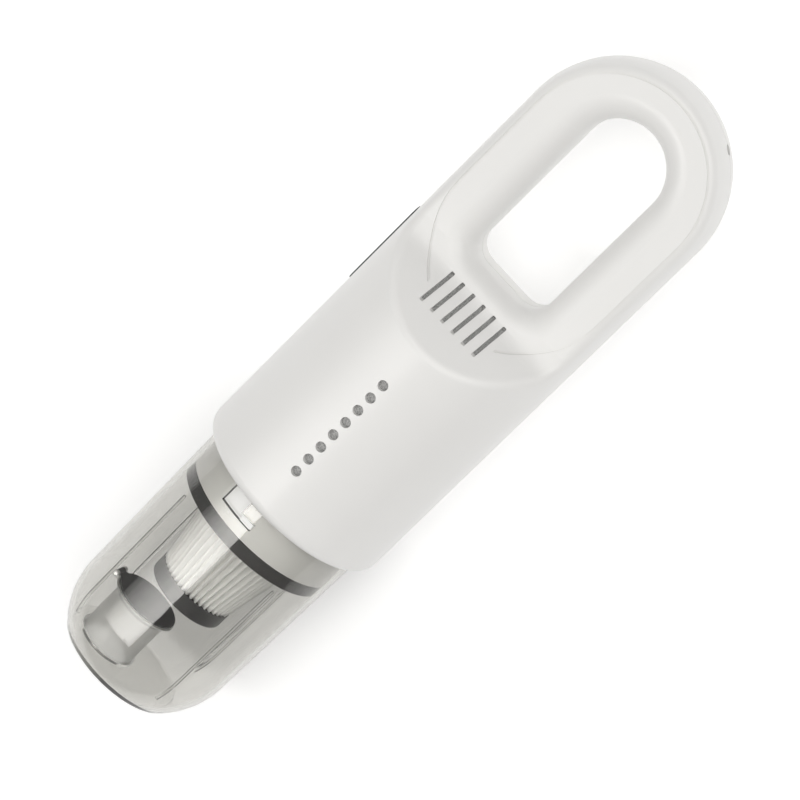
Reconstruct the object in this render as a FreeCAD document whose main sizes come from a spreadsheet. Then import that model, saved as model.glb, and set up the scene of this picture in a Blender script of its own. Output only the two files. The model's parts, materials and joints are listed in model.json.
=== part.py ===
import FreeCAD, Part
import math
import os

import Sketcher

# Handheld vacuum cleaner with a clear dust cup at the front and a loop handle at the back.
# Frame: X runs along the cleaner from the nozzle (-X) to the handle (+X), +Y is the side that
# points up in use, and +Z is up while the cleaner lies on its back on the flat of rear_shell.
# The pieces are modelled about the cleaner's long axis, then lifted by axis_height.

SIZES = {
    # whole body
    "axis_height": 41.9,
    "barrel_radius": 42.5,
    "rim_x": -61.3,
    "rim_round": 4.5,
    "end_centre_x": 120.5,
    "handle_half": 15.3,
    "handle_round": 4.0,
    "shell_wall": 2.2,
    "front_wall": 5.0,
    # ramp between the barrel and the handle, on both faces
    "ramp_foot_x": 52.6,
    "ramp_run": 22.6,
    "ramp_rise": 27.2,
    "ramp_slant": 35.36,
    "ramp_blend": 14.0,
    # hand hole
    "hole_x": 59.6,
    "hole_half": 18.2,
    "hole_end_x": 122.7,
    "hole_corner": 9.0,
    "hole_round": 10.0,
    # fine lines in the surface
    "seam_depth": 0.6,
    "seam_width": 0.4,
    "groove_half": 37.0,
    "groove_width": 0.8,
    "groove_left_x": 77.9,
    "groove_gap": 18.0,
    # round vent holes along the barrel, and vent slots on the ramps
    "dot_radius": 2.1,
    "dot_first_x": -37.9,
    "dot_pitch": 6.85,
    "slot_x": 39.6,
    "slot_length": 12.6,
    "slot_width": 1.7,
    "slot_pitch": 5.65,
    "slot_corner": 0.4,
    "foam_gap": 2.4,
    "foam_thick": 2.0,
    # screws and their bosses
    "boss_radius": 3.2,
    "screw_radius": 1.3,
    "screw_length": 13.0,
    "screw_head_radius": 2.4,
    "screw_head": 1.8,
    "screw_seat": 7.0,
    "thread_gap": 0.05,
    "recess_half": 1.6,
    "recess_wide": 0.8,
    "recess_deep": 1.5,
    # dust cup, its inlet tube and the flap behind the tube
    "cup_end_x": -61.6,
    "cup_dome_x": -138.8,
    "cup_front_x": -163.0,
    "cup_rear_radius": 37.2,
    "cup_dome_radius": 36.0,
    "cup_wall": 2.0,
    "cup_front_wall": 3.0,
    "cup_edge": 2.4,
    "rib_thick": 0.8,
    "rib_height": 1.0,
    "rib_run": 12.4,
    "rib_end_x": -84.6,
    "inlet_y": 9.1,
    "inlet_radius": 12.2,
    "inlet_bore": 11.1,
    "inlet_end_x": -136.9,
    "mouth_radius": 12.6,
    "mouth_run": 1.5,
    "lip_radius": 13.4,
    "bead_radius": 14.6,
    "bead_length": 2.6,
    "flap_gap": 0.3,
    "flap_thick": 1.0,
    "flap_radius": 14.1,
    "ear_thick": 1.6,
    "ear_gap": 0.3,
    "hinge_reach": 1.3,
    "hinge_barrel": 1.15,
    "hinge_half": 2.8,
    "pin_radius": 0.7,
    "pin_gap": 0.05,
    # bayonet between the cup's collar and the body's sleeve
    "lug_half": 2.85,
    "lug_long": 2.4,
    "lug_x": -68.9,
    "lug_gap": 0.3,
    "entry_angle": 13.4,
    "entry_half": 4.75,
    "lug_top": 36.6,
    "sleeve_x": -76.0,
    "sleeve_end_x": -54.5,
    "sleeve_radius": 34.6,
    "sleeve_wall": 2.4,
    "sleeve_gap": 0.3,
    # filter
    "cap_x": -122.3,
    "cap_thick": 7.2,
    "cap_radius": 17.3,
    "pleat_rear_x": -82.1,
    "pleat_rear_radius": 22.5,
    "pleat_depth": 4.0,
    "cage_gap": 0.6,
    "cage_wall": 1.6,
    "flange_radius": 30.9,
    "seal_radius": 34.5,
    "seal_long": 6.1,
    "skirt_radius": 32.1,
    # suction fan and motor
    "guard_x": -56.9,
    "guard_radius": 30.0,
    "shroud_x": -54.1,
    "shroud_radius": 38.0,
    "shroud_wall": 1.8,
    "shroud_long": 24.0,
    "eye_radius": 13.0,
    "fan_x": -49.1,
    "fan_radius": 31.0,
    "blade_high": 11.0,
    "motor_x": -25.3,
    "motor_long": 40.0,
    "motor_radius": 18.0,
    "motor_wall": 1.4,
    "shaft_radius": 1.6,
    "bearing_radius": 5.5,
    "bearing_long": 4.0,
    "damper_radius": 22.0,
    "damper_x": -10.4,
    "damper_long": 7.0,
    "pad_x": -8.4,
    "pad_thick": 3.0,
    "pad_half": 12.0,
    # batteries in the two bars of the handle
    "cell_x": 62.0,
    "cell_long": 65.0,
    "cell_radius": 9.15,
    "cell_y": 30.2,
    "cradle_x": 76.0,
    "cradle_pitch": 34.0,
    "cradle_thick": 1.6,
    "tab_thick": 0.3,
    "tab_half": 3.5,
    # electronics
    "board_x": 18.5,
    "board_long": 33.0,
    "board_half": 13.0,
    "board_thick": 1.6,
    "switch_half": 3.0,
    "switch_deep": 3.6,
    "carrier_half": 11.6,
    # power button on the +Y side
    "button_x": 15.8,
    "button_long": 39.2,
    "button_half": 4.0,
    "button_gap": 0.3,
    "button_top": 43.05,
    "button_foot_y": 37.9,
    "button_lip": 1.2,
    "plunger_x": 35.4,
    "plunger_radius": 1.7,
    "lip_room_y": 39.9,
    # charging socket in the end of the handle
    "port_angle": -33.0,
    "port_reach": 40.2,
    "port_hole": 2.1,
    "jack_half": 3.4,
    "jack_long": 9.5,
    "jack_bore": 1.4,
    "jack_deep": 7.5,
    "jack_pin": 0.65,
    "jack_nose": 1.9,
}

SLOT_COUNT = 6
DOT_COUNT = 8
PLEAT_COUNT = 44
BLADE_COUNT = 9
CAGE_BARS = 10
CAGE_WINDOW_HALF = 2.8
GUARD_ROWS = [(6.0, 6), (11.5, 12), (17.0, 18), (22.5, 24)]
PORT_COUNT = 18
ROTOR_SLOTS = 12
BLADE_OUTLINE = [
    (5, -1), (14, -3.4), (23, -9.5), (28.4, -12),
    (28.9, -11.1), (23.2, -8.4), (14.2, -2.3), (5, 0.2),
]
FAR = 60.0

AXES = {
    "x": FreeCAD.Vector(1, 0, 0),
    "y": FreeCAD.Vector(0, 1, 0),
    "z": FreeCAD.Vector(0, 0, 1),
}
ALONG_X = FreeCAD.Rotation(AXES["z"], AXES["x"])
ALONG_Y = FreeCAD.Rotation(AXES["z"], AXES["y"])
UPRIGHT = FreeCAD.Rotation()

doc = FreeCAD.newDocument("handheld_vacuum")
sheet = doc.addObject("Spreadsheet::Sheet", "sizes")
for row, (alias, number) in enumerate(SIZES.items(), start=1):
    sheet.set(f"A{row}", alias)
    sheet.set(f"B{row}", str(number))
    sheet.setAlias(f"B{row}", alias)
doc.recompute()


class Size:
    """A dimension: its number now, and the expression that keeps it bound to the sheet."""

    def __init__(self, number, text):
        self.number = number
        self.text = text

    def __add__(self, other):
        other = as_size(other)
        return Size(self.number + other.number, f"({self.text} + {other.text})")

    def __sub__(self, other):
        other = as_size(other)
        return Size(self.number - other.number, f"({self.text} - {other.text})")

    def __mul__(self, other):
        other = as_size(other)
        return Size(self.number * other.number, f"({self.text} * {other.text})")

    def __truediv__(self, other):
        other = as_size(other)
        return Size(self.number / other.number, f"({self.text} / {other.text})")

    def __neg__(self):
        return Size(-self.number, f"(0 - {self.text})")


def as_size(value):
    return value if isinstance(value, Size) else Size(float(value), str(float(value)))


def size(alias):
    return Size(float(sheet.get(alias)), f"sizes.{alias}")


D = {alias: size(alias) for alias in SIZES}


# ---------------------------------------------------------------- building blocks

def place(thing, x=0, y=0, z=0, turn=UPRIGHT):
    thing.Placement = FreeCAD.Placement(FreeCAD.Vector(0, 0, 0), turn)
    for axis, value in zip("xyz", (x, y, z)):
        thing.setExpression(f"Placement.Base.{axis}", as_size(value).text)
    return thing


def bind(thing, **values):
    for name, value in values.items():
        thing.setExpression(name, as_size(value).text)
    return thing


def cylinder(radius, length, x=0, y=0, z=0, turn=ALONG_X):
    thing = doc.addObject("Part::Cylinder", "cylinder")
    bind(thing, Radius=radius, Height=length)
    return place(thing, x, y, z, turn)


def cone(first_radius, last_radius, length, x=0, y=0, z=0):
    thing = doc.addObject("Part::Cone", "cone")
    bind(thing, Radius1=first_radius, Radius2=last_radius, Height=length)
    return place(thing, x, y, z, ALONG_X)


def sphere(radius, x=0, y=0, z=0):
    thing = doc.addObject("Part::Sphere", "sphere")
    bind(thing, Radius=radius)
    return place(thing, x, y, z)


def box(x, y, z, turn=UPRIGHT):
    """A box from three (low, high) pairs."""
    thing = doc.addObject("Part::Box", "box")
    spans = [(as_size(low), as_size(high)) for low, high in (x, y, z)]
    lengths = [high - low for low, high in spans]
    bind(thing, Length=lengths[0], Width=lengths[1], Height=lengths[2])
    return place(thing, spans[0][0], spans[1][0], spans[2][0], turn)


def fuse(*things):
    if len(things) == 1:
        return things[0]
    result = doc.addObject("Part::MultiFuse", "fuse")
    result.Shapes = list(things)
    result.Refine = True
    return result


def cut(base, *tools):
    result = doc.addObject("Part::Cut", "cut")
    result.Base = base
    result.Tool = fuse(*tools)
    result.Refine = True
    return result


def common(first, second):
    result = doc.addObject("Part::Common", "common")
    result.Base = first
    result.Tool = second
    result.Refine = True
    return result


def fillet(base, radius, wanted):
    """Round the edges of base that the function wanted picks."""
    doc.recompute()
    result = doc.addObject("Part::Fillet", "fillet")
    result.Base = base
    reach = as_size(radius).number
    numbers = [i for i, edge in enumerate(base.Shape.Edges, start=1) if wanted(edge)]
    result.Edges = [(number, reach, reach) for number in numbers]
    return result


def mirrored_in_z(thing):
    result = doc.addObject("Part::Mirroring", "mirrored")
    result.Source = thing
    result.Base = FreeCAD.Vector(0, 0, 0)
    result.Normal = AXES["z"]
    return result


def points_on(edge, count=5):
    first, last = edge.FirstParameter, edge.LastParameter
    return [edge.valueAt(first + (last - first) * step / (count - 1)) for step in range(count)]


def runs_along(edge, axis):
    if edge.Degenerated:
        return False
    start, end = edge.Vertexes[0].Point, edge.Vertexes[-1].Point
    straight = isinstance(edge.Curve, Part.Line)
    return straight and abs((end - start).normalize().dot(AXES[axis])) > 0.999


def is_circle(edge):
    return not edge.Degenerated and isinstance(edge.Curve, Part.Circle)


def is_circle_at(edge, x, radius):
    if not is_circle(edge):
        return False
    return abs(edge.Curve.Center.x - x.number) < 0.01 and abs(edge.Curve.Radius - radius.number) < 0.01


def held(*things):
    """Keep finished pieces where they stand, as one group that can be placed as a whole."""
    group = doc.addObject("Part::Compound", "group")
    group.Links = list(things)
    return group


def turned_about_x(thing, degrees):
    group = held(thing)
    group.Placement = FreeCAD.Placement(FreeCAD.Vector(0, 0, 0), about_x(degrees))
    return group


nodes = {}


def settle(label, thing, x=0, y=0, turn=UPRIGHT):
    """Name a finished sub-part and set it at its place in the frame."""
    thing.Label = label
    place(thing, x, y, D["axis_height"], turn)
    nodes[label] = thing
    return thing


def origin_plane(body, role):
    return next(plane for plane in body.Origin.OriginFeatures if plane.Role == role)


def new_sketch(body, role):
    sketch = body.newObject("Sketcher::SketchObject", f"{body.Name}_sketch")
    sketch.AttachmentSupport = [(origin_plane(body, role), "")]
    sketch.MapMode = "FlatFace"
    return sketch


def tie(sketch, kind, *where, value):
    """Add a dimension to a sketch and bind it to the sheet."""
    value = as_size(value)
    number = sketch.addConstraint(Sketcher.Constraint(kind, *where, value.number))
    sketch.setExpression(f"Constraints[{number}]", value.text)


def draw_polygon(sketch, corners):
    corners = [(as_size(across), as_size(up)) for across, up in corners]
    ends = [FreeCAD.Vector(across.number, up.number, 0) for across, up in corners]
    first = sketch.GeometryCount
    for i, start in enumerate(ends):
        sketch.addGeometry(Part.LineSegment(start, ends[(i + 1) % len(ends)]), False)
    for i, (across, up) in enumerate(corners):
        following = first + (i + 1) % len(ends)
        sketch.addConstraint(Sketcher.Constraint("Coincident", first + i, 2, following, 1))
        tie(sketch, "DistanceX", -1, 1, first + i, 1, value=across)
        tie(sketch, "DistanceY", -1, 1, first + i, 1, value=up)


def turned(label, outline):
    """A body turned about the long axis from (x, radius) corners."""
    body = doc.addObject("PartDesign::Body", label)
    sketch = new_sketch(body, "XZ_Plane")
    draw_polygon(sketch, outline)
    turn = body.newObject("PartDesign::Revolution", f"{label}_turned")
    turn.Profile = sketch
    turn.ReferenceAxis = (sketch, ["H_Axis"])
    turn.Angle = 360
    return body


def ring(x, length, inner, outer):
    return cut(cylinder(outer, length, x), cylinder(inner, length + 2, as_size(x) - 1))


def about_x(degrees):
    return FreeCAD.Rotation(AXES["x"], degrees)


# ---------------------------------------------------------------- housing form

def ramp_cutter(inset):
    """Everything above the ramp and the handle's face, with the valley between them blended."""
    wedge = doc.addObject("Part::Wedge", "ramp_wedge")
    floor = D["handle_half"] - inset
    pull = D["ramp_slant"] / D["ramp_rise"] * inset
    lean = D["ramp_run"] / D["ramp_rise"]
    foot = D["ramp_foot_x"] + lean * inset - pull
    peak = foot - lean * (as_size(FAR) - floor)
    end = D["end_centre_x"] + FAR
    bind(wedge, Ymin=floor, Ymax=FAR, Zmin=-FAR, Zmax=FAR, Z2min=-FAR, Z2max=FAR)
    bind(wedge, Xmin=foot, Xmax=end, X2min=peak, X2max=end)
    place(wedge, turn=about_x(90))

    def is_valley(edge):
        middle = points_on(edge)[2]
        level = abs(middle.z - floor.number) < 0.01 and abs(middle.x - foot.number) < 0.01
        return level and runs_along(edge, "y")

    return fillet(wedge, D["ramp_blend"] + inset, is_valley)


def hand_hole(inset):
    half = D["hole_half"] + inset
    start = D["hole_x"] - inset
    block = box((start, D["hole_end_x"]), (-half, half), (-FAR, FAR))

    def is_near_corner(edge):
        return runs_along(edge, "z") and abs(edge.Vertexes[0].Point.x - start.number) < 0.01

    block = fillet(block, D["hole_corner"] + inset, is_near_corner)
    return fuse(block, cylinder(half, 2 * FAR, D["hole_end_x"], z=-FAR, turn=UPRIGHT))


def housing_form(inset, rounded=False, front=0):
    """The body as one solid, drawn in by inset, starting front ahead of the rim."""
    inset = as_size(inset)
    radius = D["barrel_radius"] - inset
    start = D["rim_x"] - front
    capsule = fuse(
        cylinder(radius, D["end_centre_x"] - start, start),
        sphere(radius, D["end_centre_x"]),
    )
    upper = ramp_cutter(inset)
    form = cut(capsule, upper, mirrored_in_z(upper), hand_hole(inset))
    if not rounded:
        return form
    face = D["handle_half"].number - inset.number
    hole_reach = D["hole_half"].number + inset.number + 0.1
    hole_end = D["hole_end_x"].number + hole_reach

    def is_hole_rim(edge):
        on_face = all(abs(abs(p.z) - face) < 0.01 for p in points_on(edge))
        in_reach = all(abs(p.y) < hole_reach and p.x < hole_end for p in points_on(edge))
        past_ramp = all(p.x > D["ramp_foot_x"].number for p in points_on(edge))
        return on_face and in_reach and past_ramp and not joins_ramp(edge)

    def joins_ramp(edge):
        return runs_along(edge, "y") and edge.Length > hole_reach * 2

    def on_capsule(point):
        beyond = max(point.x - D["end_centre_x"].number, 0)
        return abs(math.sqrt(beyond**2 + point.y**2 + point.z**2) - radius.number) < 0.01

    def is_outer_rim(edge):
        ends = points_on(edge)
        flat = abs(ends[0].y) < 0.01 and abs(ends[-1].y) < 0.01 and abs(ends[2].y) < 0.01
        across = ends[0].z * ends[-1].z < 0
        return all(on_capsule(p) for p in ends) and not flat and not across and ends[2].x > 0

    form = fillet(form, D["hole_round"] - inset, is_hole_rim)
    return fillet(form, D["handle_round"] - inset, is_outer_rim)


def above_parting(low=0, high=FAR):
    return box((-2 * FAR, 3 * FAR), (-FAR, FAR), (low, high))


def racetrack(half):
    """The upright prism of the handle panel's outline."""
    left, right = D["groove_left_x"], D["end_centre_x"]
    return fuse(
        box((left, right), (-half, half), (-FAR, FAR)),
        cylinder(half, 2 * FAR, left, z=-FAR, turn=UPRIGHT),
        cylinder(half, 2 * FAR, right, z=-FAR, turn=UPRIGHT),
    )


def vent_slots(low, high):
    slots = []
    for number in range(SLOT_COUNT):
        centre = D["slot_pitch"] * (number - (SLOT_COUNT - 1) / 2)
        half = D["slot_width"] / 2
        start = D["slot_x"]
        slot = box((start, start + D["slot_length"]), (centre - half, centre + half), (low, high))
        slots.append(fillet(slot, D["slot_corner"], lambda edge: runs_along(edge, "z")))
    return slots


# Where the five screws stand: two in the barrel, two at the foot of the ramp, one in the handle's end.
SCREW_PLACES = [(8.0, 26.0), (8.0, -26.0), (52.4, 31.0), (52.4, -31.0), (152.0, 0.0)]


def button_slot(margin, low_y, high_y):
    """A stadium along X on the parting plane, running in Y."""
    half = D["button_half"] + margin
    left = D["button_x"] + D["button_half"]
    right = D["button_x"] + D["button_long"] - D["button_half"]
    span = as_size(high_y) - low_y
    return fuse(
        box((left, right), (low_y, high_y), (-half, half)),
        cylinder(half, span, left, low_y, 0, ALONG_Y),
        cylinder(half, span, right, low_y, 0, ALONG_Y),
    )


def port_turn():
    return FreeCAD.Rotation(AXES["z"], D["port_angle"].number)


def build_shells():
    outer = housing_form(0, rounded=True)
    outer = fillet(outer, D["rim_round"], lambda edge: is_circle_at(edge, D["rim_x"], D["barrel_radius"]))
    cavity = housing_form(D["shell_wall"], rounded=True, front=1)
    ahead_of_cavity = box(
        (D["rim_x"] - 2, D["rim_x"] + D["front_wall"]), (-FAR, FAR), (-FAR, FAR)
    )
    shallow = housing_form(D["seam_depth"], rounded=True, front=1)

    seam_half = D["seam_width"] / 2
    seam = cut(above_parting(-seam_half, seam_half), shallow)
    track = cut(racetrack(D["groove_half"] + D["groove_width"]), racetrack(D["groove_half"]))
    between_slots = box((0, D["groove_left_x"]), (-D["groove_gap"], D["groove_gap"]), (-FAR, FAR))
    groove = cut(track, shallow, between_slots)

    pillars = []
    for x, y in SCREW_PLACES:
        pillars.append(cylinder(D["boss_radius"], 2 * FAR, x, y, -FAR, UPRIGHT))
    cradle = cell_cradles()
    pads = motor_pads()
    stiffening = common(fuse(*pillars, cradle, pads), shallow)

    body = cut(outer, cut(cavity, ahead_of_cavity))
    body = fuse(body, stiffening)
    sleeve_bore = cylinder(D["sleeve_radius"] + D["sleeve_gap"], D["front_wall"] + 2, D["rim_x"] - 1)
    room_y = D["button_foot_y"] - 2
    button_hole = button_slot(D["button_gap"], room_y, FAR)
    lip_room = button_slot(D["button_gap"] + D["button_lip"], room_y, D["lip_room_y"])
    port = held(cylinder(D["port_hole"], D["jack_long"] + 5, D["port_reach"] - D["jack_long"]))
    place(port, D["end_centre_x"], turn=port_turn())
    body = cut(body, seam, groove, sleeve_bore, button_hole, lip_room, port)

    dots = []
    for number in range(DOT_COUNT):
        x = D["dot_first_x"] + D["dot_pitch"] * number
        dots.append(cylinder(D["dot_radius"], FAR, x, z=30, turn=UPRIGHT))
    pilots = []
    shanks = []
    seat = -D["screw_seat"]
    for x, y in SCREW_PLACES:
        thread = D["screw_radius"] + D["thread_gap"]
        pilots.append(cylinder(thread, D["screw_length"], x, y, seat, UPRIGHT))
        shanks.append(cylinder(thread, D["screw_seat"] + 1, x, y, seat - 0.5, UPRIGHT))
        shanks.append(cylinder(D["screw_head_radius"] + 0.3, FAR, x, y, seat - FAR, UPRIGHT))
    front = cut(common(body, above_parting()), *dots, *pilots, *vent_slots(12, FAR))
    land = box((-2 * FAR, 3 * FAR), (-FAR, FAR), (-FAR, -D["axis_height"]))
    lower = box((-2 * FAR, 3 * FAR), (-FAR, FAR), (-FAR, 0))
    rear = cut(common(body, lower), *shanks, *vent_slots(-FAR, -12), land)
    settle("front_shell", front)
    settle("rear_shell", rear)


def cell_cradles():
    """Ribs across both handle bars that hold the battery cells."""
    ribs = []
    face = D["handle_half"]
    for x in (D["cradle_x"], D["cradle_x"] + D["cradle_pitch"]):
        ribs.append(box((x, x + D["cradle_thick"]), (-D["barrel_radius"], D["barrel_radius"]), (-face, face)))
    hole_side = box((0, 3 * FAR), (-D["hole_half"], D["hole_half"]), (-FAR, FAR))
    length = D["cradle_pitch"] + 20
    beds = []
    for side in (-1, 1):
        beds.append(cylinder(D["cell_radius"] + 0.1, length, D["cradle_x"] - 10, D["cell_y"] * side))
    return cut(fuse(*ribs), hole_side, *beds)


def motor_pads():
    """Ribs from the barrel's sides that hold the motor's rubber ring."""
    span = (D["pad_x"], D["pad_x"] + D["pad_thick"])
    half = D["pad_half"]
    rib = box(span, (-D["barrel_radius"], D["barrel_radius"]), (-half, half))
    return cut(rib, cylinder(D["damper_radius"] + 0.1, D["pad_thick"] + 2, D["pad_x"] - 1))


def build_foams():
    """Foam behind the round vent holes and behind the slots of each ramp."""
    layer = cut(housing_form(D["foam_gap"], front=1), housing_form(D["foam_gap"] + D["foam_thick"], front=2))
    dots_end = D["dot_first_x"] + D["dot_pitch"] * DOT_COUNT - 2
    strip = box((D["dot_first_x"] - 4, dots_end), (-6, 6), (20, FAR))
    settle("front_vent_foam", common(layer, strip))
    slots_end = D["slot_x"] + D["slot_length"] + 2
    for label, low, high in (("front_ramp_foam", 14, FAR), ("rear_ramp_foam", -FAR, -14)):
        patch = box((D["slot_x"] - 2.5, slots_end), (-18, 18), (low, high))
        settle(label, common(layer, patch))


def build_screws():
    screws = []
    for x, y in SCREW_PLACES:
        seat = -D["screw_seat"]
        head_top = seat - D["thread_gap"]
        head_foot = head_top - D["screw_head"]
        head = cylinder(D["screw_head_radius"], D["screw_head"], x, y, head_foot, UPRIGHT)
        shank = cylinder(D["screw_radius"], D["screw_length"] - 1, x, y, head_top - 0.1, UPRIGHT)
        depth = (head_foot - 1, head_foot + D["recess_deep"])
        long, wide = D["recess_half"], D["recess_wide"] / 2
        recess = box((as_size(x) - wide, as_size(x) + wide), (as_size(y) - long, as_size(y) + long), depth)
        cross = box((as_size(x) - long, as_size(x) + long), (as_size(y) - wide, as_size(y) + wide), depth)
        screws.append(cut(fuse(shank, head), recess, cross))
    settle("shell_screws", held(*screws))


# ---------------------------------------------------------------- front sleeve

def build_sleeve():
    """The white sleeve that plugs into the body, carries the filter and locks into the cup."""
    start, back = D["sleeve_x"], D["sleeve_end_x"]
    outer = D["sleeve_radius"]
    inner = outer - D["sleeve_wall"]
    sleeve = turned("sleeve_blank", [(start, inner), (start, outer), (back, outer), (back, inner)])
    lugs = []
    half_long = D["lug_long"] / 2
    span = (D["lug_x"] - half_long, D["lug_x"] + half_long)
    for low, high in ((outer - 1, D["lug_top"]), (-D["lug_top"], -outer + 1)):
        lug = box(span, (-D["lug_half"], D["lug_half"]), (low, high))
        lugs.append(fillet(lug, 0.5, lambda edge: runs_along(edge, "z")))
    settle("filter_sleeve", fuse(sleeve, *lugs))


def build_fan_guard():
    """A perforated guard in front of the fan's inlet, on a short skirt."""
    front, back = D["guard_x"], D["shroud_x"] - 0.1
    radius = D["guard_radius"]
    cap = turned("guard_blank", [
        (front, 0.001),
        (front, radius),
        (back, radius),
        (back, radius - 1.4),
        (front + 1.4, radius - 1.4),
        (front + 1.4, 0.001),
    ])
    cap = fillet(cap, 0.6, lambda edge: is_circle_at(edge, front, radius))
    holes = []
    for row, count in GUARD_ROWS:
        for number in range(count):
            angle = 2 * math.pi * number / count
            holes.append(cylinder(1.9, 3, front - 1, row * math.cos(angle), row * math.sin(angle)))
    settle("fan_guard", cut(cap, *holes))


# ---------------------------------------------------------------- dust cup, inlet and flap

def cup_hollow(inset):
    """The room inside the cup, drawn in by inset from its outer face, and open at the rear."""
    dome, rear = D["cup_dome_x"], D["cup_end_x"]
    return fuse(
        cone(D["cup_dome_radius"] - inset, D["cup_rear_radius"] - inset, rear - dome, dome),
        sphere(D["cup_dome_radius"] - inset, dome),
        cylinder(D["cup_rear_radius"] - inset, 4, rear - 0.01),
    )


def build_cup():
    dome, rear, front = D["cup_dome_x"], D["cup_end_x"], D["cup_front_x"]
    wall = D["cup_wall"]
    skin = fuse(
        cone(D["cup_dome_radius"], D["cup_rear_radius"], rear - dome, dome),
        sphere(D["cup_dome_radius"], dome),
    )
    hollow = cup_hollow(wall)
    ahead = box((front - FAR, front), (-FAR, FAR), (-FAR, FAR))
    front_slab = box((front - FAR, front + D["cup_front_wall"]), (-FAR, FAR), (-FAR, FAR))
    behind = box((rear, rear + FAR), (-FAR, FAR), (-FAR, FAR))
    skin = cut(skin, ahead, behind)
    flat_radius = math.sqrt(D["cup_dome_radius"].number**2 - (dome - front).number**2)
    skin = fillet(skin, D["cup_edge"], lambda edge: is_circle_at(edge, front, as_size(flat_radius)))
    skin = fillet(skin, 0.6, lambda edge: is_circle_at(edge, rear, D["cup_rear_radius"]))

    ribs = []
    half = D["rib_thick"] / 2
    for angle in (45, 135, 225, 315):
        rib = box((dome - D["rib_run"], D["rib_end_x"]), (-half, half), (D["inlet_radius"], FAR))
        ribs.append(turned_about_x(rib, angle))
    ribs = cut(common(fuse(*ribs), skin), cup_hollow(wall + D["rib_height"]))

    cup = fuse(cut(skin, cut(hollow, front_slab)), ribs)
    tube_hole = cylinder(D["lip_radius"] + 0.05, 8, front - 2, D["inlet_y"])
    cup = cut(cup, tube_hole, *bayonet_slots())
    settle("dust_cup", cup)


def bayonet_slots():
    """An L-shaped slot at the top and at the bottom of the collar."""
    slots = []
    depth = D["lug_long"] / 2 + D["lug_gap"]
    low_x = D["lug_x"] - depth
    entry = doc.addObject("Part::Box", "entry")
    bind(entry, Length=D["cup_end_x"] - low_x + 2, Width=D["entry_half"] * 2, Height=10)
    place(entry, low_x, -D["entry_half"], 30)
    leg = doc.addObject("Part::Box", "leg")
    reach = D["lug_half"] + D["lug_gap"]
    bind(leg, Length=depth * 2, Width=reach + 8.5, Height=10)
    place(leg, low_x, -reach, 30)
    angle = D["entry_angle"].number
    for turn in (0, 180):
        slots.append(turned_about_x(entry, turn - angle))
        slots.append(turned_about_x(leg, turn))
    return slots


def hinge_y():
    return D["bead_radius"] + D["hinge_reach"]


def hinge_ears(start, pin_x):
    """Two eyes on the tube's rim that carry the flap's pin."""
    ears = []
    inside = D["hinge_half"] + D["ear_gap"]
    outside = inside + D["ear_thick"]
    for low, high in ((inside, outside), (-outside, -inside)):
        reach = (D["flap_radius"] - 0.3, hinge_y() + D["hinge_barrel"])
        arm = box((start, pin_x), reach, (low, high))
        eye = cylinder(D["hinge_barrel"], high - low, pin_x, hinge_y(), low, UPRIGHT)
        ears.append(fuse(arm, eye))
    return fuse(*ears)


def build_inlet():
    """The inlet tube is modelled about its own axis, which runs inlet_y above the cleaner's."""
    front, back = D["cup_front_x"], D["inlet_end_x"]
    lip_end = front + D["cup_front_wall"]
    bead_x = back - D["bead_length"]
    rim_x = back - 0.5
    tube = turned("inlet_blank", [
        (front, D["mouth_radius"]),
        (front, D["lip_radius"]),
        (lip_end, D["lip_radius"]),
        (lip_end, D["inlet_radius"]),
        (bead_x, D["inlet_radius"]),
        (rim_x, D["bead_radius"]),
        (back, D["bead_radius"]),
        (back, D["inlet_bore"]),
        (front + D["mouth_run"], D["inlet_bore"]),
    ])
    pin_x = back + D["flap_gap"] + D["flap_thick"] / 2
    eye_bore = D["pin_radius"] + D["pin_gap"]
    bore = cylinder(eye_bore, 2 * FAR, pin_x, hinge_y(), -FAR, UPRIGHT)
    settle("inlet_tube", fuse(tube, cut(hinge_ears(rim_x, pin_x), bore)), y=D["inlet_y"])

    pin_half = D["hinge_half"] + D["ear_gap"] + D["ear_thick"] + 0.2
    pin = cylinder(D["pin_radius"], pin_half * 2, pin_x, hinge_y(), -pin_half, UPRIGHT)
    settle("flap_pin", held(pin), y=D["inlet_y"])

    low_x = back + D["flap_gap"]
    half = D["hinge_half"]
    disc = cylinder(D["flap_radius"], D["flap_thick"], low_x)
    disc = fillet(disc, 0.3, is_circle)
    tongue = box((low_x, low_x + D["flap_thick"]), (D["inlet_bore"], hinge_y()), (-half, half))
    knuckle = cylinder(D["hinge_barrel"], half * 2, pin_x, hinge_y(), -half, UPRIGHT)
    settle("inlet_flap", cut(fuse(disc, tongue, knuckle), bore), y=D["inlet_y"])


# ---------------------------------------------------------------- filter

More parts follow.
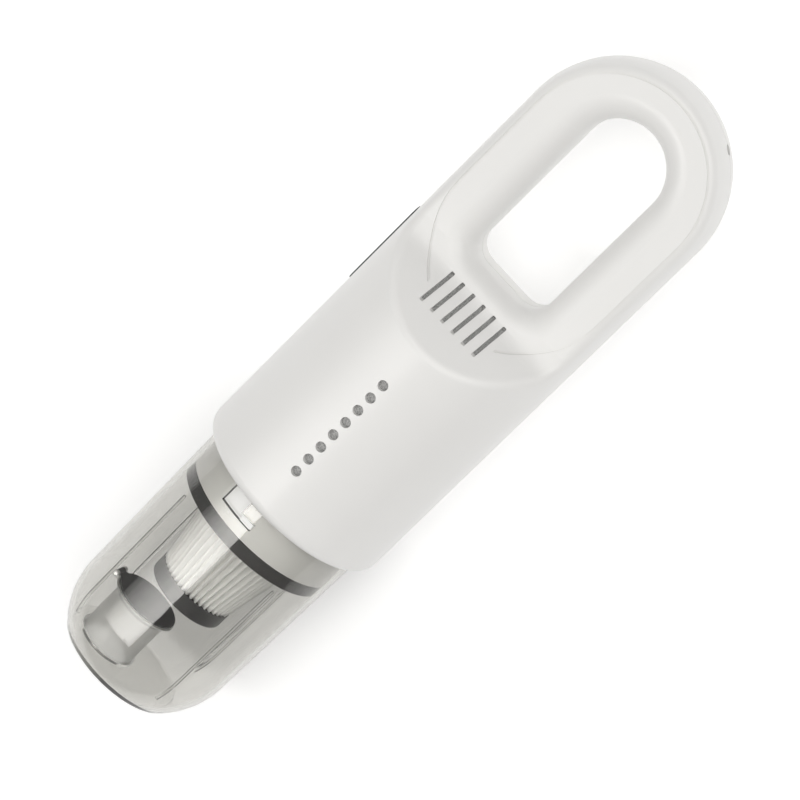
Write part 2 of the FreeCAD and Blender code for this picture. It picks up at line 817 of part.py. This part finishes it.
def build_filter():
    cap_end = D["cap_x"] + D["cap_thick"]
    rear = D["pleat_rear_x"]
    wall = D["cage_wall"]
    cage_front = D["cap_radius"] - D["pleat_depth"] - D["cage_gap"]
    cage_rear = D["pleat_rear_radius"] - D["pleat_depth"] - D["cage_gap"]
    lip = cage_front - wall - D["cage_gap"]
    step_x = cap_end - 2.5
    cap = turned("cap_blank", [
        (D["cap_x"], 0.001),
        (D["cap_x"], D["cap_radius"]),
        (cap_end, D["cap_radius"]),
        (cap_end, lip),
        (step_x, lip),
        (step_x, 0.001),
    ])
    cap = fillet(cap, 1.2, lambda edge: is_circle_at(edge, D["cap_x"], D["cap_radius"]))
    settle("filter_end_cap", cap)

    cage = turned("cage_blank", [
        (cap_end + 0.05, cage_front - wall),
        (cap_end + 0.05, cage_front),
        (rear, cage_rear),
        (rear, cage_rear - wall),
    ])
    settle("filter_cage", cut(cage, *cage_windows(cap_end + 4, rear - 4)))

    seal_x = rear + 0.1
    seal_end = seal_x + D["seal_long"] - 0.2
    groove_front, groove_back = seal_x + 1.6, seal_x + 3.6
    rim, skirt = D["flange_radius"], D["skirt_radius"]
    tooth = rim + 2
    settle("filter_frame", turned("filter_frame", [
        (seal_x, cage_rear - wall),
        (seal_x, rim),
        (groove_front, rim),
        (groove_front, tooth),
        (groove_back, tooth),
        (groove_back, rim),
        (seal_end, rim),
        (seal_end + 0.2, skirt),
        (seal_end + 8, skirt),
        (seal_end + 8, skirt - wall),
        (seal_end - 0.4, rim - wall),
        (groove_back + 0.4, rim - wall),
        (groove_back - 0.8, cage_rear - wall),
    ]))
    bead = D["seal_radius"]
    settle("filter_seal", turned("filter_seal", [
        (seal_x, rim + 0.1),
        (seal_x, bead - 0.5),
        (seal_x + 0.5, bead),
        (seal_end - 0.5, bead),
        (seal_end, bead - 0.5),
        (seal_end, rim + 0.1),
        (groove_back + 0.1, rim + 0.1),
        (groove_back + 0.1, tooth + 0.1),
        (groove_front - 0.1, tooth + 0.1),
        (groove_front - 0.1, rim + 0.1),
    ]))
    settle("filter_pleats", pleats(cap_end + 0.05, rear - 0.05))


def cage_windows(front, rear):
    """Long windows between the cage's bars, with a hoop left between the two rows."""
    windows = []
    middle = (front + rear) / 2
    for number in range(CAGE_BARS):
        for span in ((front, middle - 1), (middle + 1, rear)):
            window = box(span, (-CAGE_WINDOW_HALF, CAGE_WINDOW_HALF), (5, FAR))
            windows.append(turned_about_x(window, number * 360 / CAGE_BARS))
    return windows


def pleats(front, rear):
    """Folded filter paper: a star-shaped sleeve that widens towards the rear."""
    def star(x, outer):
        corners = []
        for number in range(PLEAT_COUNT * 2):
            radius = outer if number % 2 else outer - D["pleat_depth"].number
            angle = math.pi * number / PLEAT_COUNT
            corners.append(FreeCAD.Vector(x, radius * math.cos(angle), radius * math.sin(angle)))
        return Part.makePolygon(corners + corners[:1])

    front_x, rear_x = as_size(front).number, as_size(rear).number
    front_radius, rear_radius = D["cap_radius"].number - 0.2, D["pleat_rear_radius"].number
    sleeve = Part.makeLoft([star(front_x, front_radius), star(rear_x, rear_radius)], True, True)
    hollow = D["pleat_depth"].number + 0.2
    core = Part.makeCone(
        front_radius - hollow,
        rear_radius - hollow,
        rear_x - front_x,
        FreeCAD.Vector(front_x, 0, 0),
        AXES["x"],
    )
    thing = doc.addObject("Part::Feature", "filter_paper")
    thing.Shape = sleeve.cut(core)
    return thing


# ---------------------------------------------------------------- fan and motor

def build_fan():
    start, wall = D["shroud_x"], D["shroud_wall"]
    outer = D["shroud_radius"]
    back = start + D["shroud_long"]
    settle("fan_shroud", turned("fan_shroud", [
        (start, D["eye_radius"]),
        (start, outer + 2),
        (start + wall, outer + 2),
        (start + wall, outer),
        (back, outer),
        (back, outer - wall),
        (start + wall, outer - wall),
        (start + wall, D["eye_radius"] + 1),
        (start + wall + 1.5, D["eye_radius"] + 1),
        (start + wall + 1.5, D["eye_radius"]),
    ]))

    plate_x = back - 4
    plate = ring(plate_x, 2, D["motor_radius"] + 0.1, outer - wall - 0.1)
    ports = []
    for number in range(PORT_COUNT):
        angle = 2 * math.pi * number / PORT_COUNT
        ports.append(cylinder(3.2, 6, plate_x - 2, 31 * math.cos(angle), 31 * math.sin(angle)))
    collar = ring(plate_x + 2, 6, D["motor_radius"] + 0.1, D["motor_radius"] + 2)
    settle("fan_back_plate", fuse(cut(plate, *ports), collar))

    body = doc.addObject("PartDesign::Body", "impeller")
    sketch = new_sketch(body, "XZ_Plane")
    rear = D["fan_x"] + D["blade_high"]
    bore = D["shaft_radius"] + 0.02
    draw_polygon(sketch, [
        (D["fan_x"], bore),
        (D["fan_x"], 4.5),
        (rear - 2, 9),
        (rear, D["fan_radius"]),
        (rear + 1.4, D["fan_radius"]),
        (rear + 1.4, 7),
        (rear + 4, 6),
        (rear + 4, bore),
    ])
    hub = body.newObject("PartDesign::Revolution", "impeller_hub")
    hub.Profile = sketch
    hub.ReferenceAxis = (sketch, ["H_Axis"])
    hub.Angle = 360
    blade_sketch = new_sketch(body, "YZ_Plane")
    draw_polygon(blade_sketch, BLADE_OUTLINE)
    blade_sketch.setExpression("AttachmentOffset.Base.z", (D["fan_x"] + 1.5).text)
    blade = body.newObject("PartDesign::Pad", "impeller_blade")
    blade.Profile = blade_sketch
    blade.setExpression("Length", (D["blade_high"] - 1.2).text)
    pattern = body.newObject("PartDesign::PolarPattern", "impeller_blades")
    pattern.Originals = [blade]
    pattern.Axis = (origin_plane(body, "X_Axis"), [""])
    pattern.Angle = 360
    pattern.Occurrences = BLADE_COUNT
    body.Tip = pattern
    settle("impeller", body)


def build_motor():
    start, end = D["motor_x"], D["motor_x"] + D["motor_long"]
    wall, outer = D["motor_wall"], D["motor_radius"]
    bearing, bearing_long = D["bearing_radius"], D["bearing_long"]
    seat = bearing + 0.05
    settle("motor_can", turned("motor_can", [
        (start, seat),
        (start, outer),
        (end - 2, outer),
        (end - 2, outer - wall),
        (start + wall, outer - wall),
        (start + wall, seat + 1.5),
        (start + bearing_long, seat + 1.5),
        (start + bearing_long, seat),
    ]))
    settle("motor_end_bell", turned("motor_end_bell", [
        (end - 1.9, seat),
        (end - 1.9, outer - 0.2),
        (end, outer - 0.2),
        (end, seat + 2),
        (end + 2, seat + 2),
        (end + 2, seat),
    ]))
    shaft_gap = D["shaft_radius"] + 0.03
    settle("front_bearing", ring(start, bearing_long, shaft_gap, bearing))
    settle("rear_bearing", ring(end - 2, bearing_long, shaft_gap, bearing))
    shaft = cylinder(D["shaft_radius"], end - D["fan_x"] + 3, D["fan_x"] - 1)
    settle("motor_shaft", held(shaft))
    magnets = ring(start + 6, D["motor_long"] - 12, outer - wall - 3.4, outer - wall - 0.1)
    gap = box((start, end), (-1.5, 1.5), (-FAR, FAR))
    settle("motor_magnets", cut(magnets, gap))
    settle("motor_rotor", rotor(start + 8, D["motor_long"] - 17))
    settle("motor_damper", ring(D["damper_x"], D["damper_long"], outer + 0.05, D["damper_radius"]))


def rotor(x, length):
    """A slotted iron core with its winding slots, pressed on the shaft."""
    core = ring(x, length, D["shaft_radius"] + 0.02, 12)
    slots = []
    for number in range(ROTOR_SLOTS):
        slot = box((as_size(x) - 1, as_size(x) + length + 1), (-1.1, 1.1), (8, 14))
        slots.append(turned_about_x(slot, number * 360 / ROTOR_SLOTS))
    return cut(core, *slots)


# ---------------------------------------------------------------- electrics

def build_electrics():
    for label, side in (("battery_cell_upper", 1), ("battery_cell_lower", -1)):
        cell = cylinder(D["cell_radius"], D["cell_long"], D["cell_x"])
        can = fillet(cell, 0.8, is_circle)
        settle(label, can, y=D["cell_y"] * side)
    tabs = []
    thick, half = D["tab_thick"], D["tab_half"]
    for y in (D["cell_y"], -D["cell_y"]):
        for x in (D["cell_x"] - 0.05 - thick, D["cell_x"] + D["cell_long"] + 0.05):
            tabs.append(box((x, x + thick), (y - half, y + half), (-half, half)))
    settle("battery_tabs", held(*tabs))

    half = D["board_half"]
    left = D["board_x"]
    right = left + D["board_long"]
    board = box((left, right), (-half, half), (-D["board_thick"] - 0.4, -0.4))
    settle("circuit_board", held(board))

    switch_y = D["button_foot_y"] - 3.5
    plunger_reach = D["plunger_radius"]
    plunger_y = switch_y - 2.3
    plunger = cylinder(
        plunger_reach, D["button_foot_y"] - plunger_y - 0.02, D["plunger_x"], plunger_y, 0, ALONG_Y
    )
    settle("switch_plunger", held(plunger))
    centre, half, reach = D["plunger_x"], D["switch_half"], D["carrier_half"]
    foot = switch_y - D["switch_deep"]
    block = box((centre - half, centre + half), (foot, switch_y), (-half, half))
    bore = cylinder(plunger_reach + 0.1, 4, centre, plunger_y - 0.9, 0, ALONG_Y)
    settle("tact_switch", cut(block, bore))
    carrier_top = foot - 0.05
    carrier_span = (carrier_top - D["board_thick"], carrier_top)
    carrier = box((centre - reach, centre + reach), carrier_span, (-half - 1.5, half + 1.5))
    settle("switch_board", held(carrier))


def build_button():
    """A long pill that follows the barrel's curve, with a lip that keeps it in the shells."""
    pill = button_slot(0, D["button_foot_y"], FAR)
    crown = cylinder(D["button_top"], D["button_long"] + 4, D["button_x"] - 2)
    pill = common(pill, crown)
    lip = button_slot(D["button_lip"], D["button_foot_y"], D["button_foot_y"] + 1.5)
    settle("power_button", fuse(pill, lip))


def build_port():
    """A round charging jack, modelled along X from the centre of the handle's end, then turned."""
    reach, half = D["port_reach"], D["jack_half"]
    foot = reach - D["jack_long"]
    bore_foot = reach - D["jack_deep"]
    block = box((foot, reach - 1), (-half, half), (-half, half))
    block = fillet(block, 0.5, lambda edge: runs_along(edge, "x"))
    nose = cylinder(D["jack_nose"], D["jack_long"] - 1, foot + 1)
    bore = cylinder(D["jack_bore"], D["jack_deep"] + 1, bore_foot)
    pin = cylinder(D["jack_pin"], D["jack_deep"] - 0.7, bore_foot - 0.5)
    jack = fuse(cut(fuse(block, nose), bore), pin)
    settle("charging_socket", jack, x=D["end_centre_x"], turn=port_turn())
    board_top = -half - 0.05
    board_span = (board_top - D["board_thick"], board_top)
    board = box((foot - 3, reach - 3), (-half - 2, half + 2), board_span)
    settle("charging_board", held(board), x=D["end_centre_x"], turn=port_turn())


build_shells()
build_foams()
build_screws()
build_sleeve()
build_fan_guard()
build_cup()
build_inlet()
build_filter()
build_fan()
build_motor()
build_electrics()
build_button()
build_port()

doc.recompute()
for thing in doc.Objects:
    if "Invalid" in thing.State or "Error" in thing.State:
        raise RuntimeError(f"{thing.Name} failed: {thing.State}")
for label, thing in nodes.items():
    if thing.Shape.isNull() or not thing.Shape.isValid():
        raise RuntimeError(f"{label} is not a valid shape")

os.makedirs("parts", exist_ok=True)
for label, thing in nodes.items():
    thing.Shape.exportStep(f"parts/{label}.step")
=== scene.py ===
"""Looks of a handheld vacuum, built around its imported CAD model."""
import json
import math
import random

import bmesh
import bpy
from mathutils import Matrix, Vector


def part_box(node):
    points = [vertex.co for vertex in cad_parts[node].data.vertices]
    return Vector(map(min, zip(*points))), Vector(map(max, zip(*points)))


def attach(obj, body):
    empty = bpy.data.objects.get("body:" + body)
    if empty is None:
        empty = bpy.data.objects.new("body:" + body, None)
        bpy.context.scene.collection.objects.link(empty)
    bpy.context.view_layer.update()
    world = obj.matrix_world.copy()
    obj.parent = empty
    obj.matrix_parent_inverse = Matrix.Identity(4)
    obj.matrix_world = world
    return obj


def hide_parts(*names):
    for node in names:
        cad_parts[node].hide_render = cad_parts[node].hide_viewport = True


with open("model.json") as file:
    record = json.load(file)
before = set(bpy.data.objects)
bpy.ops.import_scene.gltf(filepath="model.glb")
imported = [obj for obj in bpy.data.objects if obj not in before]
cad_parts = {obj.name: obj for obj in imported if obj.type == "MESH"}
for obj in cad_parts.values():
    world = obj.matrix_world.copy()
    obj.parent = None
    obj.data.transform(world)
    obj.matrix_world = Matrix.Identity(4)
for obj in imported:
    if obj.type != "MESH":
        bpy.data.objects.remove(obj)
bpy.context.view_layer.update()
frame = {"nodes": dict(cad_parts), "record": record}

MM = 0.001

# ---------------------------------------------------------------- places read from the frame

shell_low, shell_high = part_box("front_shell")
cup_low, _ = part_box("dust_cup")
# The front shell ends at the parting plane, which holds the cleaner's axis.
AXIS_Z = shell_low.z
MIDDLE = Vector(((shell_high.x + cup_low.x) / 2, 0, AXIS_Z))

# ---------------------------------------------------------------- camera

VIEW_FROM = Vector((0.3175, -0.0909, 0.9439))
VIEW_DISTANCE = 1.4146
VIEW_AIM = MIDDLE + Vector((-3.1, -4.13, 0)) * MM
VIEW_TILT = math.radians(44.46)
VIEW_LENS = 167.0
VIEW_SENSOR = 36.0


def add_camera():
    """Look at VIEW_AIM from the VIEW_FROM side, with the cleaner's axis tilted across the picture."""
    data = bpy.data.cameras.new("camera")
    data.lens = VIEW_LENS
    data.sensor_width = VIEW_SENSOR
    camera = bpy.data.objects.new("camera", data)
    bpy.context.scene.collection.objects.link(camera)
    back = VIEW_FROM.normalized()
    along = (Vector((1, 0, 0)) - back * back.x).normalized()
    aside = back.cross(along)
    right = along * math.cos(VIEW_TILT) - aside * math.sin(VIEW_TILT)
    up = along * math.sin(VIEW_TILT) + aside * math.cos(VIEW_TILT)
    turn = Matrix((right, up, back)).transposed().to_4x4()
    camera.matrix_world = Matrix.Translation(VIEW_AIM + back * VIEW_DISTANCE) @ turn
    bpy.context.scene.camera = camera


# ---------------------------------------------------------------- material building blocks

class Shader:
    """A material with a Principled shader, and short calls for the nodes that feed it."""

    def __init__(self, name):
        self.material = bpy.data.materials.new(name)
        self.material.use_nodes = True
        self.tree = self.material.node_tree
        self.principled = self.tree.nodes["Principled BSDF"]
        self.output = self.tree.nodes["Material Output"]
        self.place = self.tree.nodes.new("ShaderNodeTexCoord").outputs["Object"]

    def set(self, **values):
        """Set the shader's own sockets; an underscore stands for the space in a socket's name."""
        for name, value in values.items():
            self.principled.inputs[name.replace("_", " ")].default_value = value

    def node(self, kind, **inputs):
        """Add a node whose inputs are numbers, colours or the outputs of other nodes."""
        node = self.tree.nodes.new(kind)
        for name, value in inputs.items():
            socket = node.inputs[name.replace("_", " ")]
            if isinstance(value, bpy.types.NodeSocket):
                self.tree.links.new(value, socket)
            else:
                socket.default_value = value
        return node

    def noise(self, scale, detail=4.0, roughness=0.5):
        node = self.node("ShaderNodeTexNoise", Vector=self.place, Scale=scale, Detail=detail)
        node.inputs["Roughness"].default_value = roughness
        return node.outputs["Fac"]

    def cells(self, scale, feature="F1"):
        node = self.tree.nodes.new("ShaderNodeTexVoronoi")
        node.feature = feature
        self.tree.links.new(self.place, node.inputs["Vector"])
        node.inputs["Scale"].default_value = scale
        return node.outputs["Distance"]

    def feed(self, socket, source):
        self.tree.links.new(source, self.principled.inputs[socket])

    def colour(self, source, first, second, start=0.3, end=0.7):
        """Blend the base colour from first to second as the source goes from start to end."""
        ramp = self.node("ShaderNodeValToRGB", Fac=source)
        stops = ((start, first), (end, second))
        for element, (position, colour) in zip(ramp.color_ramp.elements, stops):
            element.position = position
            element.color = (*colour, 1.0)
        self.feed("Base Color", ramp.outputs["Color"])

    def gloss(self, scale, low, high):
        """Vary the roughness between two values, in patches set by the scale."""
        node = self.node("ShaderNodeMapRange", Value=self.noise(scale))
        node.inputs["To Min"].default_value = low
        node.inputs["To Max"].default_value = high
        self.feed("Roughness", node.outputs["Result"])

    def bump(self, source, strength, distance):
        node = self.node("ShaderNodeBump", Height=source, Strength=strength, Distance=distance)
        self.feed("Normal", node.outputs["Normal"])

    def let_lamps_through(self):
        """Let lamps light what stands behind this clear plastic."""
        rays = self.tree.nodes.new("ShaderNodeLightPath")
        clear = self.node("ShaderNodeBsdfTransparent", Color=LAMP_TINT)
        mix = self.node("ShaderNodeMixShader", Fac=rays.outputs["Is Shadow Ray"])
        self.tree.links.new(self.principled.outputs["BSDF"], mix.inputs[1])
        self.tree.links.new(clear.outputs["BSDF"], mix.inputs[2])
        self.tree.links.new(mix.outputs["Shader"], self.output.inputs["Surface"])


# ---------------------------------------------------------------- moulded plastics and rubber

GLOSS_SPREAD = 0.04
GRAIN_DEPTH = 0.02 * MM


def moulded(name, dark, light, roughness, grain=900.0, **settings):
    """Moulded plastic: a faint drift in tone, uneven gloss and a fine spark-eroded grain."""
    shader = Shader(name)
    shader.set(**settings)
    shader.colour(shader.noise(scale=14.0), dark, light)
    shader.gloss(scale=45.0, low=roughness - GLOSS_SPREAD, high=roughness + GLOSS_SPREAD)
    shader.bump(shader.noise(scale=grain, detail=2.0), strength=0.25, distance=GRAIN_DEPTH)
    return shader.material


def white_shell():
    """Satin white, with a thin gloss over it."""
    return moulded("white_shell", (0.825, 0.82, 0.806), (0.85, 0.845, 0.831), 0.36,
                   Coat_Weight=0.12, Coat_Roughness=0.2)


def white_inner():
    return moulded("white_inner", (0.87, 0.87, 0.855), (0.91, 0.91, 0.895), 0.42)


def dark_plastic():
    return moulded("dark_plastic", (0.04, 0.039, 0.039), (0.055, 0.053, 0.053), 0.42)


def grey_plastic():
    return moulded("grey_plastic", (0.20, 0.205, 0.21), (0.25, 0.255, 0.26), 0.45)


def button_grey():
    return moulded("button_grey", (0.05, 0.05, 0.052), (0.07, 0.07, 0.072), 0.5)


def socket_black():
    return moulded("socket_black", (0.012, 0.012, 0.012), (0.02, 0.02, 0.02), 0.4)


def dark_rubber():
    return moulded("dark_rubber", (0.042, 0.04, 0.04), (0.06, 0.058, 0.057), 0.6, grain=1800.0)


def magnet():
    return moulded("magnet", (0.05, 0.05, 0.055), (0.08, 0.08, 0.085), 0.6, grain=1500.0)


def cell_wrap():
    """Shiny shrink sleeve round a battery cell."""
    return moulded("cell_wrap", (0.03, 0.14, 0.27), (0.04, 0.17, 0.32), 0.3, Coat_Weight=0.4)


# ---------------------------------------------------------------- clear plastics

PLASTIC_IOR = 1.5
SMOKE_COLOUR = (0.62, 0.61, 0.58, 1.0)
SMOKE_DENSITY = 230.0
LAMP_TINT = (0.74, 0.74, 0.74, 1.0)


def smoky_clear():
    """Clear polycarbonate whose smoke tint deepens with thickness, its gloss a little uneven."""
    shader = Shader("smoky_clear")
    shader.set(Transmission_Weight=1.0, IOR=PLASTIC_IOR)
    shader.colour(shader.noise(scale=9.0), (0.97, 0.97, 0.96), (0.99, 0.99, 0.98))
    shader.gloss(scale=120.0, low=0.008, high=0.03)
    smoke = shader.node("ShaderNodeVolumeAbsorption", Color=SMOKE_COLOUR, Density=SMOKE_DENSITY)
    shader.tree.links.new(smoke.outputs["Volume"], shader.output.inputs["Volume"])
    shader.let_lamps_through()
    return shader.material


def frosted_clear():
    """Clear plastic with a light, milky frost."""
    shader = Shader("frosted_clear")
    shader.set(Transmission_Weight=0.75, IOR=PLASTIC_IOR)
    shader.colour(shader.noise(scale=30.0), (0.90, 0.90, 0.89), (0.95, 0.95, 0.94))
    shader.gloss(scale=90.0, low=0.25, high=0.4)
    shader.let_lamps_through()
    return shader.material


# ---------------------------------------------------------------- paper, foam and circuit board

def filter_paper():
    """White fibrous paper."""
    shader = Shader("filter_paper")
    shader.set(Sheen_Weight=0.2)
    shader.colour(shader.noise(scale=260.0), (0.88, 0.88, 0.865), (0.94, 0.94, 0.925))
    shader.gloss(scale=500.0, low=0.8, high=0.95)
    fibres = shader.noise(scale=3200.0, detail=6.0, roughness=0.7)
    shader.bump(fibres, strength=0.5, distance=0.08 * MM)
    return shader.material


def vent_foam():
    """Open-cell foam: fine pores between struts, with painted shade that darkens each pore towards its
    middle.
    """
    shader = Shader("vent_foam")
    pores_and_shade = shader.cells(scale=2200.0)
    # Painted shade: the colour is darkest in the middle of each pore and lighter on the struts.
    shader.colour(pores_and_shade, (0.20, 0.20, 0.20), (0.52, 0.52, 0.515), start=0.1, end=0.6)
    shader.gloss(scale=300.0, low=0.85, high=1.0)
    shader.bump(pores_and_shade, strength=1.0, distance=0.3 * MM)
    return shader.material


def board_green():
    """Solder mask over a network of copper tracks, which show a little lighter."""
    shader = Shader("board_green")
    tracks = shader.cells(scale=420.0, feature="DISTANCE_TO_EDGE")
    shader.colour(tracks, (0.04, 0.22, 0.10), (0.015, 0.11, 0.05), start=0.02, end=0.08)
    shader.gloss(scale=200.0, low=0.25, high=0.4)
    shader.bump(tracks, strength=0.3, distance=0.03 * MM)
    return shader.material


# ---------------------------------------------------------------- metals

METAL_GRAIN = 600.0


def metal(name, dark, light, roughness):
    """Ground or plated metal, its tone and polish uneven over a very fine grain."""
    shader = Shader(name)
    shader.set(Metallic=1.0)
    shader.colour(shader.noise(scale=60.0), dark, light)
    shader.gloss(scale=METAL_GRAIN, low=roughness - 0.06, high=roughness + 0.08)
    shader.bump(shader.noise(scale=METAL_GRAIN * 2), strength=0.2, distance=0.01 * MM)
    return shader.material


def zinc_steel():
    return metal("zinc_steel", (0.55, 0.55, 0.56), (0.68, 0.68, 0.69), 0.3)


def bearing_steel():
    return metal("bearing_steel", (0.60, 0.60, 0.62), (0.72, 0.72, 0.74), 0.2)


def motor_steel():
    return metal("motor_steel", (0.45, 0.46, 0.48), (0.58, 0.59, 0.61), 0.32)


def rotor_iron():
    return metal("rotor_iron", (0.20, 0.19, 0.19), (0.30, 0.29, 0.28), 0.45)


def nickel():
    return metal("nickel", (0.62, 0.60, 0.55), (0.74, 0.72, 0.67), 0.28)


# ---------------------------------------------------------------- materials of the CAD nodes

MATERIALS = {
    "white_shell": white_shell(),
    "white_inner": white_inner(),
    "smoky_clear": smoky_clear(),
    "frosted_clear": frosted_clear(),
    "filter_paper": filter_paper(),
    "dark_rubber": dark_rubber(),
    "dark_plastic": dark_plastic(),
    "grey_plastic": grey_plastic(),
    "vent_foam": vent_foam(),
    "zinc_steel": zinc_steel(),
    "bearing_steel": bearing_steel(),
    "motor_steel": motor_steel(),
    "magnet": magnet(),
    "rotor_iron": rotor_iron(),
    "cell_wrap": cell_wrap(),
    "nickel": nickel(),
    "board_green": board_green(),
    "button_grey": button_grey(),
    "socket_black": socket_black(),
}


def dress_frame():
    """Give every carried-over CAD node the material of its slot."""
    for part in frame["record"]["subparts"]:
        mesh = frame["nodes"][part["node"]].data
        mesh.materials.clear()
        mesh.materials.append(MATERIALS[part["material_slot"]])


# ---------------------------------------------------------------- filter paper

def add_piece(name, corners, faces, slot, body):
    """Make a smooth mesh piece that rides on a body and takes the finish of a slot."""
    mesh = bpy.data.meshes.new(name)
    mesh.from_pydata(corners, [], faces)
    mesh.update()
    mesh.materials.append(MATERIALS[slot])
    mesh.polygons.foreach_set("use_smooth", [True] * len(mesh.polygons))
    piece = bpy.data.objects.new(name, mesh)
    bpy.context.scene.collection.objects.link(piece)
    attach(piece, body)
    return piece


PLEAT_COUNT = 44
PLEAT_DEPTH = 3.7 * MM
PLEAT_STATIONS = 16
POINTS_PER_PLEAT = 14
PAPER_THICK = 0.35 * MM
# A tip of 1 would be a knife edge.
PLEAT_TIP = 0.985
CAP_MARGIN = 0.3 * MM
FLANGE_MARGIN = 0.1 * MM
# How uneven the folds are: their height in millimetres, and their lean in widths of a pleat.
RIDGE_SPREAD = (-0.25, 0.05)
LEAN_SPREAD = (-0.12, 0.12)
PLEAT_SEED = 7


def fold(turn):
    """How far out a fold stands, from 0 in a valley to 1 on a ridge, with rounded tips."""
    return 0.5 + math.asin(PLEAT_TIP * math.sin(turn)) / (2 * math.asin(PLEAT_TIP))


def add_pleats():
    """Pleated filter paper, flaring from the end cap to the flange, its folds a little uneven."""
    low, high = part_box("filter_pleats")
    cap_low, cap_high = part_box("filter_end_cap")
    front_radius = (cap_high.z - cap_low.z) / 2 - CAP_MARGIN
    rear_radius = (high.z - low.z) / 2 - FLANGE_MARGIN
    dice = random.Random(PLEAT_SEED)
    reach = [dice.uniform(*RIDGE_SPREAD) * MM for _ in range(PLEAT_COUNT)]
    lean = [dice.uniform(*LEAN_SPREAD) for _ in range(PLEAT_COUNT)]
    around = PLEAT_COUNT * POINTS_PER_PLEAT
    corners = []
    for station in range(PLEAT_STATIONS):
        part = station / (PLEAT_STATIONS - 1)
        x = low.x + (high.x - low.x) * part
        ridge = front_radius + (rear_radius - front_radius) * part
        for step in range(around):
            pleat = step // POINTS_PER_PLEAT
            within = 2 * math.pi * (step % POINTS_PER_PLEAT) / POINTS_PER_PLEAT
            stand = fold(within - math.pi / 2)
            wander = lean[pleat] * math.sin(math.pi * part) * stand
            angle = 2 * math.pi * step / around + wander * 2 * math.pi / PLEAT_COUNT
            radius = ridge - PLEAT_DEPTH * (1 - stand) + reach[pleat] * stand
            corners.append((x, radius * math.cos(angle), AXIS_Z + radius * math.sin(angle)))
    faces = []
    for station in range(PLEAT_STATIONS - 1):
        for step in range(around):
            following = (step + 1) % around
            first, second = station * around, (station + 1) * around
            faces.append((first + step, first + following, second + following, second + step))
    paper = add_piece("pleated_paper", corners, faces, "filter_paper", "filter")
    thickness = paper.modifiers.new("thickness", "SOLIDIFY")
    thickness.thickness = PAPER_THICK
    thickness.offset = 1.0
    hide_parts("filter_pleats")


# ---------------------------------------------------------------- floor

FLOOR_REACH = 3.0
FLOOR_ROUGHNESS = 0.9
FLOOR_GLOW = 0.28
WHITE = (1.0, 1.0, 1.0, 1.0)


def add_floor():
    """A pale floor with a faint glow of its own."""
    mesh = bpy.data.meshes.new("floor")
    form = bmesh.new()
    bmesh.ops.create_grid(form, x_segments=1, y_segments=1, size=FLOOR_REACH)
    form.to_mesh(mesh)
    form.free()
    floor = bpy.data.objects.new("floor", mesh)
    bpy.context.scene.collection.objects.link(floor)
    shader = Shader("floor")
    shader.colour(shader.noise(scale=3.0), (0.93, 0.93, 0.93), (0.95, 0.95, 0.95))
    shader.set(Roughness=FLOOR_ROUGHNESS, Emission_Color=WHITE, Emission_Strength=FLOOR_GLOW)
    mesh.materials.append(shader.material)


# ---------------------------------------------------------------- light

LAMP_COLOUR = (1.0, 0.99, 0.97)
TOP_PLACE = (0.6, -0.3, 1.4)
TOP_SIZE = (1.6, 1.6)
TOP_RADIANCE = 1.78
WORLD_STRENGTH = 0.3

# The key light is a nest of panels that share one edge, so it's brightest there and fades away
# from it. Angles are round the cleaner's axis, in degrees from straight up towards +Y.
KEY_X = -0.6
KEY_REACH = 1.35
KEY_LENGTH = 0.4
KEY_EDGE = -1.5
KEY_FAR_EDGES = (14.0, 24.0, 32.0, 39.0, 46.0, 52.5)
KEY_RADIANCE = 0.95


def add_light(name, place, size, radiance):
    """A soft panel that faces MIDDLE from a place measured from it, its first side along the cleaner."""
    data = bpy.data.lights.new(name, "AREA")
    data.color = LAMP_COLOUR
    data.shape = "RECTANGLE"
    data.size, data.size_y = size
    data.energy = radiance * math.pi * size[0] * size[1]
    light = bpy.data.objects.new(name, data)
    bpy.context.scene.collection.objects.link(light)
    back = Vector(place).normalized()
    along = (Vector((1, 0, 0)) - back * back.x).normalized()
    turn = Matrix((along, back.cross(along), back)).transposed().to_4x4()
    light.matrix_world = Matrix.Translation(MIDDLE + Vector(place)) @ turn


def add_key_light():
    for number, far_edge in enumerate(KEY_FAR_EDGES):
        half = math.radians((far_edge - KEY_EDGE) / 2)
        middle = math.radians(KEY_EDGE) + half
        place = (KEY_X, KEY_REACH * math.sin(middle), KEY_REACH * math.cos(middle))
        width = 2 * KEY_REACH * math.tan(half)
        add_light(f"key_light_{number}", place, (KEY_LENGTH, width), KEY_RADIANCE)


def add_world():
    """Even white light from all round."""
    world = bpy.data.worlds.new("world")
    world.use_nodes = True
    background = world.node_tree.nodes["Background"]
    background.inputs["Color"].default_value = WHITE
    background.inputs["Strength"].default_value = WORLD_STRENGTH
    bpy.context.scene.world = world


# ---------------------------------------------------------------- the scene

add_camera()
dress_frame()
add_pleats()
add_floor()
add_key_light()
add_light("top_light", TOP_PLACE, TOP_SIZE, TOP_RADIANCE)
add_world()
bpy.context.scene.view_settings.view_transform = "Standard"
